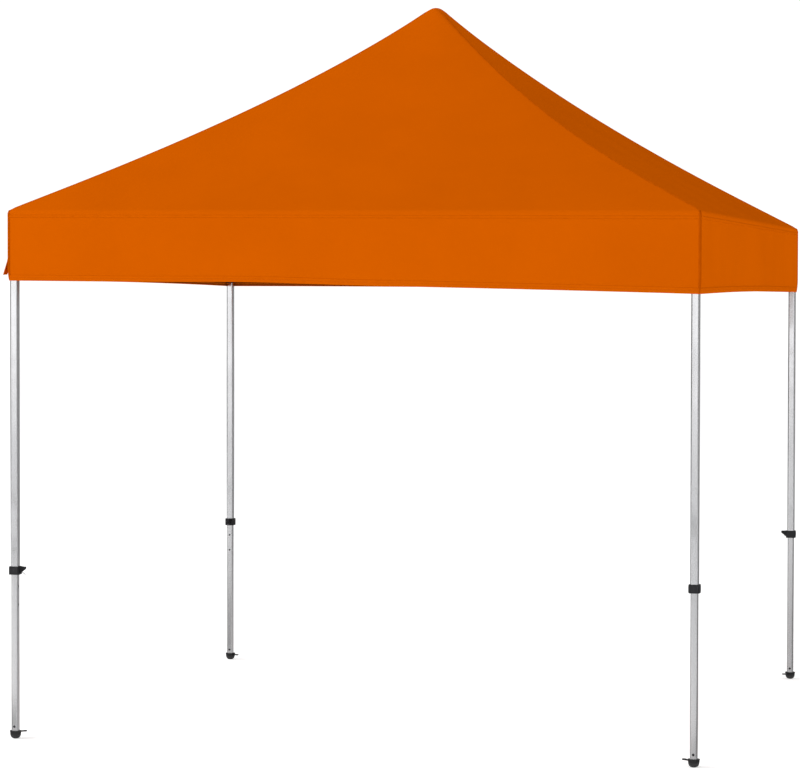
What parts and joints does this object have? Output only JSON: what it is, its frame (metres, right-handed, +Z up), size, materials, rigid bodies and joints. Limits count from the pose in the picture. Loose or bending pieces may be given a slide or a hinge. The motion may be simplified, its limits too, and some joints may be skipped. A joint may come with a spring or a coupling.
{
  "type": "pop-up canopy shelter",
  "caption": "Square pop-up canopy shelter: a peaked orange cloth roof with a plain valance on a folding scissor frame with straight telescoping legs.",
  "frame": {"origin": "on the ground at the shelter's centre, under the peak", "axes": "+Z up, -Y out of the front side, +X to the right seen from the front"},
  "size_m": [3.056, 3.056, 3.3048],
  "materials": {
    "leg_aluminium": "satin anodised",
    "bar_aluminium": "satin",
    "black_nylon": "moulded, fine grain",
    "steel": "zinc plated",
    "orange_fabric": "coated polyester plain weave"
  },
  "bodies": {
    "hub_upper": {"hub_upper": "black_nylon", "canopy": "orange_fabric"},
    "peak_half_front": {"peak_bar_front_half": "bar_aluminium"},
    "peak_long_front": {"peak_bar_front_long": "bar_aluminium"},
    "mid_bracket_front": {"mid_bracket_front": "black_nylon"},
    "side_left_inner_front": {"side_bar_front_left_inner": "bar_aluminium"},
    "side_left_outer_front": {"side_bar_front_left_outer": "bar_aluminium"},
    "side_right_inner_front": {"side_bar_front_right_inner": "bar_aluminium"},
    "side_right_outer_front": {"side_bar_front_right_outer": "bar_aluminium"},
    "leg_front_left": {"outer_leg_front_left": "leg_aluminium", "leg_collar_front_left": "black_nylon"},
    "inner_leg_front_left": {"inner_leg_front_left": "leg_aluminium", "foot_front_left": "black_nylon"},
    "lever_front_left": {"collar_lever_front_left": "black_nylon"},
    "slider_front_left": {"slider_front_left": "black_nylon"},
    "latch_front_left": {"slider_latch_front_left": "steel"},
    "peak_half_right": {"peak_bar_right_half": "bar_aluminium"},
    "peak_long_right": {"peak_bar_right_long": "bar_aluminium"},
    "mid_bracket_right": {"mid_bracket_right": "black_nylon"},
    "side_left_inner_right": {"side_bar_right_left_inner": "bar_aluminium"},
    "side_left_outer_right": {"side_bar_right_left_outer": "bar_aluminium"},
    "side_right_inner_right": {"side_bar_right_right_inner": "bar_aluminium"},
    "side_right_outer_right": {"side_bar_right_right_outer": "bar_aluminium"},
    "leg_front_right": {"outer_leg_front_right": "leg_aluminium", "leg_collar_front_right": "black_nylon"},
    "inner_leg_front_right": {"inner_leg_front_right": "leg_aluminium", "foot_front_right": "black_nylon"},
    "lever_front_right": {"collar_lever_front_right": "black_nylon"},
    "slider_front_right": {"slider_front_right": "black_nylon"},
    "latch_front_right": {"slider_latch_front_right": "steel"},
    "peak_half_back": {"peak_bar_back_half": "bar_aluminium"},
    "peak_long_back": {"peak_bar_back_long": "bar_aluminium"},
    "mid_bracket_back": {"mid_bracket_back": "black_nylon"},
    "side_left_inner_back": {"side_bar_back_left_inner": "bar_aluminium"},
    "side_left_outer_back": {"side_bar_back_left_outer": "bar_aluminium"},
    "side_right_inner_back": {"side_bar_back_right_inner": "bar_aluminium"},
    "side_right_outer_back": {"side_bar_back_right_outer": "bar_aluminium"},
    "leg_back_right": {"outer_leg_back_right": "leg_aluminium", "leg_collar_back_right": "black_nylon"},
    "inner_leg_back_right": {"inner_leg_back_right": "leg_aluminium", "foot_back_right": "black_nylon"},
    "lever_back_right": {"collar_lever_back_right": "black_nylon"},
    "slider_back_right": {"slider_back_right": "black_nylon"},
    "latch_back_right": {"slider_latch_back_right": "steel"},
    "peak_half_left": {"peak_bar_left_half": "bar_aluminium"},
    "peak_long_left": {"peak_bar_left_long": "bar_aluminium"},
    "mid_bracket_left": {"mid_bracket_left": "black_nylon"},
    "side_left_inner_left": {"side_bar_left_left_inner": "bar_aluminium"},
    "side_left_outer_left": {"side_bar_left_left_outer": "bar_aluminium"},
    "side_right_inner_left": {"side_bar_left_right_inner": "bar_aluminium"},
    "side_right_outer_left": {"side_bar_left_right_outer": "bar_aluminium"},
    "leg_back_left": {"outer_leg_back_left": "leg_aluminium", "leg_collar_back_left": "black_nylon"},
    "inner_leg_back_left": {"inner_leg_back_left": "leg_aluminium", "foot_back_left": "black_nylon"},
    "lever_back_left": {"collar_lever_back_left": "black_nylon"},
    "slider_back_left": {"slider_back_left": "black_nylon"},
    "latch_back_left": {"slider_latch_back_left": "steel"},
    "hub_lower": {"hub_lower": "black_nylon"},
    "mast": {"center_mast": "bar_aluminium"}
  },
  "joints": [
    {"name": "frame_fold", "type": "hinge", "parent": "hub_upper", "child": "peak_half_front", "pos_m": [0.00625, -0.034, 2.262], "axis": [1, 0, 0], "range_deg": [0, 78.5]},
    {"name": "peak_cross_front", "type": "hinge", "parent": "peak_half_front", "child": "peak_long_front", "pos_m": [0, -0.754, 2.1485], "axis": [-1, 0, 0], "range_deg": [0, 157]},
    {"name": "mid_bracket_pivot_front", "type": "hinge", "parent": "peak_long_front", "child": "mid_bracket_front", "pos_m": [-0.00625, -1.474, 2.262], "axis": [1, 0, 0], "range_deg": [0, 78.5]},
    {"name": "mid_left_pivot_front", "type": "hinge", "parent": "mid_bracket_front", "child": "side_left_inner_front", "pos_m": [0, -1.49775, 2.262], "axis": [0, -1, 0], "range_deg": [0, 78.5]},
    {"name": "mid_right_pivot_front", "type": "hinge", "parent": "mid_bracket_front", "child": "side_right_outer_front", "pos_m": [0, -1.51025, 2.262], "axis": [0, 1, 0], "range_deg": [0, 78.5]},
    {"name": "cross_left_front", "type": "hinge", "parent": "side_left_inner_front", "child": "side_left_outer_front", "pos_m": [-0.72, -1.504, 2.1485], "axis": [0, 1, 0], "range_deg": [0, 157]},
    {"name": "cross_right_front", "type": "hinge", "parent": "side_right_outer_front", "child": "side_right_inner_front", "pos_m": [0.72, -1.504, 2.1485], "axis": [0, -1, 0], "range_deg": [0, 157]},
    {"name": "leg_pivot_front_left", "type": "hinge", "parent": "side_left_outer_front", "child": "leg_front_left", "pos_m": [-1.44, -1.51025, 2.262], "axis": [0, -1, 0], "range_deg": [0, 78.5]},
    {"name": "slider_pivot_front_left", "type": "hinge", "parent": "side_left_inner_front", "child": "slider_front_left", "pos_m": [-1.44, -1.49775, 2.035], "axis": [0, 1, 0], "range_deg": [0, 78.5]},
    {"name": "leg_extension_front_left", "type": "slide", "parent": "leg_front_left", "child": "inner_leg_front_left", "axis": [0, 0, 1], "range_m": [0, 0.68]},
    {"name": "lever_lift_front_left", "type": "hinge", "parent": "leg_front_left", "child": "lever_front_left", "pos_m": [-1.474, -1.502, 0.749], "axis": [0, -1, 0], "range_deg": [0, 20], "stiffness_Nm_per_rad": 0.4, "springref_deg": -5.73},
    {"name": "latch_pull_front_left", "type": "slide", "parent": "slider_front_left", "child": "latch_front_left", "axis": [1, 0, 0], "range_m": [0, 0.006], "stiffness_N_per_m": 600, "springref_m": -0.002},
    {"name": "peak_half_fold_right", "type": "hinge", "parent": "hub_upper", "child": "peak_half_right", "pos_m": [0.034, 0.00625, 2.262], "axis": [0, 1, 0], "range_deg": [0, 78.5]},
    {"name": "peak_cross_right", "type": "hinge", "parent": "peak_half_right", "child": "peak_long_right", "pos_m": [0.754, 0, 2.1485], "axis": [0, -1, 0], "range_deg": [0, 157]},
    {"name": "mid_bracket_pivot_right", "type": "hinge", "parent": "peak_long_right", "child": "mid_bracket_right", "pos_m": [1.474, -0.00625, 2.262], "axis": [0, 1, 0], "range_deg": [0, 78.5]},
    {"name": "mid_left_pivot_right", "type": "hinge", "parent": "mid_bracket_right", "child": "side_left_inner_right", "pos_m": [1.49775, 0, 2.262], "axis": [1, 0, 0], "range_deg": [0, 78.5]},
    {"name": "mid_right_pivot_right", "type": "hinge", "parent": "mid_bracket_right", "child": "side_right_outer_right", "pos_m": [1.51025, 0, 2.262], "axis": [-1, 0, 0], "range_deg": [0, 78.5]},
    {"name": "cross_left_right", "type": "hinge", "parent": "side_left_inner_right", "child": "side_left_outer_right", "pos_m": [1.504, -0.72, 2.1485], "axis": [-1, 0, 0], "range_deg": [0, 157]},
    {"name": "cross_right_right", "type": "hinge", "parent": "side_right_outer_right", "child": "side_right_inner_right", "pos_m": [1.504, 0.72, 2.1485], "axis": [1, 0, 0], "range_deg": [0, 157]},
    {"name": "leg_pivot_front_right", "type": "hinge", "parent": "side_left_outer_right", "child": "leg_front_right", "pos_m": [1.51025, -1.44, 2.262], "axis": [1, 0, 0], "range_deg": [0, 78.5]},
    {"name": "slider_pivot_front_right", "type": "hinge", "parent": "side_left_inner_right", "child": "slider_front_right", "pos_m": [1.49775, -1.44, 2.035], "axis": [-1, 0, 0], "range_deg": [0, 78.5]},
    {"name": "leg_extension_front_right", "type": "slide", "parent": "leg_front_right", "child": "inner_leg_front_right", "axis": [0, 0, 1], "range_m": [0, 0.68]},
    {"name": "lever_lift_front_right", "type": "hinge", "parent": "leg_front_right", "child": "lever_front_right", "pos_m": [1.502, -1.474, 0.749], "axis": [1, 0, 0], "range_deg": [0, 20], "stiffness_Nm_per_rad": 0.4, "springref_deg": -5.73},
    {"name": "latch_pull_front_right", "type": "slide", "parent": "slider_front_right", "child": "latch_front_right", "axis": [0, 1, 0], "range_m": [0, 0.006], "stiffness_N_per_m": 600, "springref_m": -0.002},
    {"name": "peak_half_fold_back", "type": "hinge", "parent": "hub_upper", "child": "peak_half_back", "pos_m": [-0.00625, 0.034, 2.262], "axis": [-1, 0, 0], "range_deg": [0, 78.5]},
    {"name": "peak_cross_back", "type": "hinge", "parent": "peak_half_back", "child": "peak_long_back", "pos_m": [0, 0.754, 2.1485], "axis": [1, 0, 0], "range_deg": [0, 157]},
    {"name": "mid_bracket_pivot_back", "type": "hinge", "parent": "peak_long_back", "child": "mid_bracket_back", "pos_m": [0.00625, 1.474, 2.262], "axis": [-1, 0, 0], "range_deg": [0, 78.5]},
    {"name": "mid_left_pivot_back", "type": "hinge", "parent": "mid_bracket_back", "child": "side_left_inner_back", "pos_m": [0, 1.49775, 2.262], "axis": [0, 1, 0], "range_deg": [0, 78.5]},
    {"name": "mid_right_pivot_back", "type": "hinge", "parent": "mid_bracket_back", "child": "side_right_outer_back", "pos_m": [0, 1.51025, 2.262], "axis": [0, -1, 0], "range_deg": [0, 78.5]},
    {"name": "cross_left_back", "type": "hinge", "parent": "side_left_inner_back", "child": "side_left_outer_back", "pos_m": [0.72, 1.504, 2.1485], "axis": [0, -1, 0], "range_deg": [0, 157]},
    {"name": "cross_right_back", "type": "hinge", "parent": "side_right_outer_back", "child": "side_right_inner_back", "pos_m": [-0.72, 1.504, 2.1485], "axis": [0, 1, 0], "range_deg": [0, 157]},
    {"name": "leg_pivot_back_right", "type": "hinge", "parent": "side_left_outer_back", "child": "leg_back_right", "pos_m": [1.44, 1.51025, 2.262], "axis": [0, 1, 0], "range_deg": [0, 78.5]},
    {"name": "slider_pivot_back_right", "type": "hinge", "parent": "side_left_inner_back", "child": "slider_back_right", "pos_m": [1.44, 1.49775, 2.035], "axis": [0, -1, 0], "range_deg": [0, 78.5]},
    {"name": "leg_extension_back_right", "type": "slide", "parent": "leg_back_right", "child": "inner_leg_back_right", "axis": [0, 0, 1], "range_m": [0, 0.68]},
    {"name": "lever_lift_back_right", "type": "hinge", "parent": "leg_back_right", "child": "lever_back_right", "pos_m": [1.474, 1.502, 0.749], "axis": [0, 1, 0], "range_deg": [0, 20], "stiffness_Nm_per_rad": 0.4, "springref_deg": -5.73},
    {"name": "latch_pull_back_right", "type": "slide", "parent": "slider_back_right", "child": "latch_back_right", "axis": [-1, 0, 0], "range_m": [0, 0.006], "stiffness_N_per_m": 600, "springref_m": -0.002},
    {"name": "peak_half_fold_left", "type": "hinge", "parent": "hub_upper", "child": "peak_half_left", "pos_m": [-0.034, -0.00625, 2.262], "axis": [0, -1, 0], "range_deg": [0, 78.5]},
    {"name": "peak_cross_left", "type": "hinge", "parent": "peak_half_left", "child": "peak_long_left", "pos_m": [-0.754, 0, 2.1485], "axis": [0, 1, 0], "range_deg": [0, 157]},
    {"name": "mid_bracket_pivot_left", "type": "hinge", "parent": "peak_long_left", "child": "mid_bracket_left", "pos_m": [-1.474, 0.00625, 2.262], "axis": [0, -1, 0], "range_deg": [0, 78.5]},
    {"name": "mid_left_pivot_left", "type": "hinge", "parent": "mid_bracket_left", "child": "side_left_inner_left", "pos_m": [-1.49775, 0, 2.262], "axis": [-1, 0, 0], "range_deg": [0, 78.5]},
    {"name": "mid_right_pivot_left", "type": "hinge", "parent": "mid_bracket_left", "child": "side_right_outer_left", "pos_m": [-1.51025, 0, 2.262], "axis": [1, 0, 0], "range_deg": [0, 78.5]},
    {"name": "cross_left_left", "type": "hinge", "parent": "side_left_inner_left", "child": "side_left_outer_left", "pos_m": [-1.504, 0.72, 2.1485], "axis": [1, 0, 0], "range_deg": [0, 157]},
    {"name": "cross_right_left", "type": "hinge", "parent": "side_right_outer_left", "child": "side_right_inner_left", "pos_m": [-1.504, -0.72, 2.1485], "axis": [-1, 0, 0], "range_deg": [0, 157]},
    {"name": "leg_pivot_back_left", "type": "hinge", "parent": "side_left_outer_left", "child": "leg_back_left", "pos_m": [-1.51025, 1.44, 2.262], "axis": [-1, 0, 0], "range_deg": [0, 78.5]},
    {"name": "slider_pivot_back_left", "type": "hinge", "parent": "side_left_inner_left", "child": "slider_back_left", "pos_m": [-1.49775, 1.44, 2.035], "axis": [1, 0, 0], "range_deg": [0, 78.5]},
    {"name": "leg_extension_back_left", "type": "slide", "parent": "leg_back_left", "child": "inner_leg_back_left", "axis": [0, 0, 1], "range_m": [0, 0.68]},
    {"name": "lever_lift_back_left", "type": "hinge", "parent": "leg_back_left", "child": "lever_back_left", "pos_m": [-1.502, 1.474, 0.749], "axis": [-1, 0, 0], "range_deg": [0, 20], "stiffness_Nm_per_rad": 0.4, "springref_deg": -5.73},
    {"name": "latch_pull_back_left", "type": "slide", "parent": "slider_back_left", "child": "latch_back_left", "axis": [0, -1, 0], "range_m": [0, 0.006], "stiffness_N_per_m": 600, "springref_m": -0.002},
    {"name": "hub_lower_pivot", "type": "hinge", "parent": "peak_long_front", "child": "hub_lower", "pos_m": [-0.00625, -0.034, 2.035], "axis": [1, 0, 0], "range_deg": [0, 78.5]},
    {"name": "mast_slide", "type": "slide", "parent": "hub_lower", "child": "mast", "axis": [0, 0, 1], "range_m": [0, 0.256]}
  ],
  "couplings": [
    {"joint": "peak_cross_front", "follows": "frame_fold", "ratio": 2},
    {"joint": "mid_bracket_pivot_front", "follows": "frame_fold", "ratio": 1},
    {"joint": "mid_left_pivot_front", "follows": "frame_fold", "ratio": 1},
    {"joint": "mid_right_pivot_front", "follows": "frame_fold", "ratio": 1},
    {"joint": "cross_left_front", "follows": "frame_fold", "ratio": 2},
    {"joint": "cross_right_front", "follows": "frame_fold", "ratio": 2},
    {"joint": "leg_pivot_front_left", "follows": "frame_fold", "ratio": 1},
    {"joint": "slider_pivot_front_left", "follows": "frame_fold", "ratio": 1},
    {"joint": "peak_half_fold_right", "follows": "frame_fold", "ratio": 1},
    {"joint": "peak_cross_right", "follows": "frame_fold", "ratio": 2},
    {"joint": "mid_bracket_pivot_right", "follows": "frame_fold", "ratio": 1},
    {"joint": "mid_left_pivot_right", "follows": "frame_fold", "ratio": 1},
    {"joint": "mid_right_pivot_right", "follows": "frame_fold", "ratio": 1},
    {"joint": "cross_left_right", "follows": "frame_fold", "ratio": 2},
    {"joint": "cross_right_right", "follows": "frame_fold", "ratio": 2},
    {"joint": "leg_pivot_front_right", "follows": "frame_fold", "ratio": 1},
    {"joint": "slider_pivot_front_right", "follows": "frame_fold", "ratio": 1},
    {"joint": "peak_half_fold_back", "follows": "frame_fold", "ratio": 1},
    {"joint": "peak_cross_back", "follows": "frame_fold", "ratio": 2},
    {"joint": "mid_bracket_pivot_back", "follows": "frame_fold", "ratio": 1},
    {"joint": "mid_left_pivot_back", "follows": "frame_fold", "ratio": 1},
    {"joint": "mid_right_pivot_back", "follows": "frame_fold", "ratio": 1},
    {"joint": "cross_left_back", "follows": "frame_fold", "ratio": 2},
    {"joint": "cross_right_back", "follows": "frame_fold", "ratio": 2},
    {"joint": "leg_pivot_back_right", "follows": "frame_fold", "ratio": 1},
    {"joint": "slider_pivot_back_right", "follows": "frame_fold", "ratio": 1},
    {"joint": "peak_half_fold_left", "follows": "frame_fold", "ratio": 1},
    {"joint": "peak_cross_left", "follows": "frame_fold", "ratio": 2},
    {"joint": "mid_bracket_pivot_left", "follows": "frame_fold", "ratio": 1},
    {"joint": "mid_left_pivot_left", "follows": "frame_fold", "ratio": 1},
    {"joint": "mid_right_pivot_left", "follows": "frame_fold", "ratio": 1},
    {"joint": "cross_left_left", "follows": "frame_fold", "ratio": 2},
    {"joint": "cross_right_left", "follows": "frame_fold", "ratio": 2},
    {"joint": "leg_pivot_back_left", "follows": "frame_fold", "ratio": 1},
    {"joint": "slider_pivot_back_left", "follows": "frame_fold", "ratio": 1},
    {"joint": "hub_lower_pivot", "follows": "frame_fold", "ratio": 1},
    {"joint": "mast_slide", "follows": "frame_fold", "m_per_rad": 0.18685}
  ]
}
